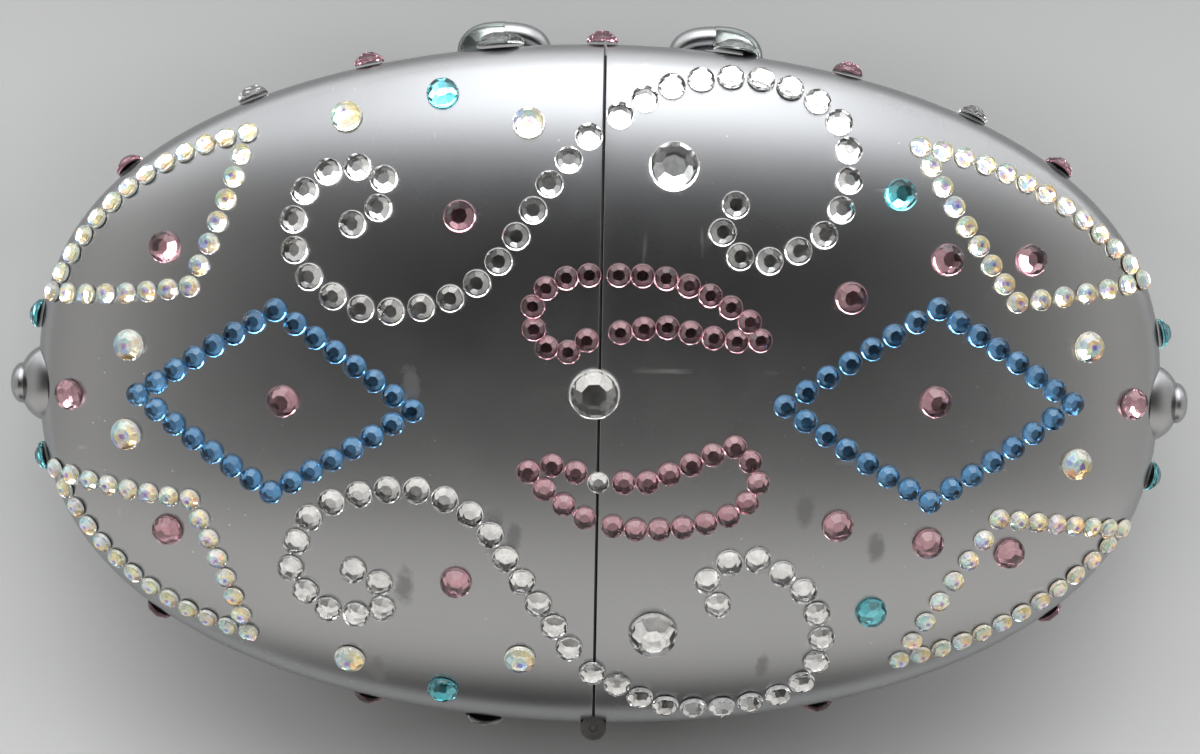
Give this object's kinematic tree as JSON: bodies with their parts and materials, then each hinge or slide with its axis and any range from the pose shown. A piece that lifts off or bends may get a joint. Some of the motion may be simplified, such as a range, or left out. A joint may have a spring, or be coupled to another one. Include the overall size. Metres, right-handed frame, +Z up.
{
  "type": "hinged egg-shaped evening case",
  "caption": "Flattened egg-shaped metal case set with faceted stones; it opens on a hinge at the seam across its middle and has strap lugs beside the seam and a finial at each end.",
  "frame": {"origin": "on the rest land under the middle of the closed case, which is the centre of the bottom of its bounding box", "axes": "+X along the case towards the half that swings, +Y towards the edge with the strap lugs, +Z up out of the stone-set face; the hinge axis is parallel to Z at the -Y end of the seam"},
  "size_m": [0.2334, 0.1417, 0.0445],
  "materials": {
    "satin_silver": "satin silver plate, fine grain, slight handling marks",
    "chrome": "polished plate",
    "hinge_steel": "plain turned and pressed steel",
    "magnet_black": "dark coated magnet",
    "lining_satin": "soft satin cloth on a stiff former",
    "clear_stone": "clear faceted glass with a silver foil back",
    "ab_stone": "faceted glass with an iridescent coating and a foil back",
    "blue_stone": "sapphire-blue faceted glass with a foil back",
    "rose_stone": "rose-pink faceted glass with a foil back"
  },
  "bodies": {
    "left_half": {"left_shell": "satin_silver", "left_frame_ring": "chrome", "left_lining": "lining_satin", "left_hinge_leaf": "hinge_steel", "left_hinge_rivet": "hinge_steel", "hinge_pin": "hinge_steel", "magnet_cup": "hinge_steel", "magnet": "magnet_black", "left_lug": "chrome", "left_lug_screw_1": "hinge_steel", "left_lug_screw_2": "hinge_steel", "left_finial_base": "satin_silver", "left_finial_button": "satin_silver", "left_finial_nut": "hinge_steel", "ab_triangle_upper_left": "ab_stone", "ab_triangle_lower_left": "ab_stone", "blue_diamond_left": "blue_stone", "rose_leaf_upper_left": "rose_stone", "rose_leaf_lower_left": "rose_stone", "clear_scroll_upper_left": "clear_stone", "clear_scroll_lower_left": "clear_stone", "large_stone_centre": "clear_stone", "rim_stone_over_seam": "rose_stone"},
    "right_half": {"right_shell": "satin_silver", "right_frame_ring": "chrome", "right_lining": "lining_satin", "right_hinge_leaf": "hinge_steel", "right_hinge_rivet": "hinge_steel", "strike_bracket": "hinge_steel", "strike_plate": "chrome", "right_lug": "chrome", "right_lug_screw_1": "hinge_steel", "right_lug_screw_2": "hinge_steel", "right_finial_base": "satin_silver", "right_finial_button": "satin_silver", "right_finial_nut": "hinge_steel", "ab_triangle_upper_right": "ab_stone", "ab_triangle_lower_right": "ab_stone", "blue_diamond_right": "blue_stone", "rose_leaf_upper_right": "rose_stone", "rose_leaf_lower_right": "rose_stone", "clear_scroll_upper_right": "clear_stone", "clear_scroll_lower_right": "clear_stone", "large_stone_upper": "clear_stone", "large_stone_lower": "clear_stone"}
  },
  "joints": [
    {"name": "case_hinge", "type": "hinge", "parent": "left_half", "child": "right_half", "pos_m": [0, -0.068, 0.0199], "axis": [0, 0, -1], "range_deg": [0, 110]}
  ]
}
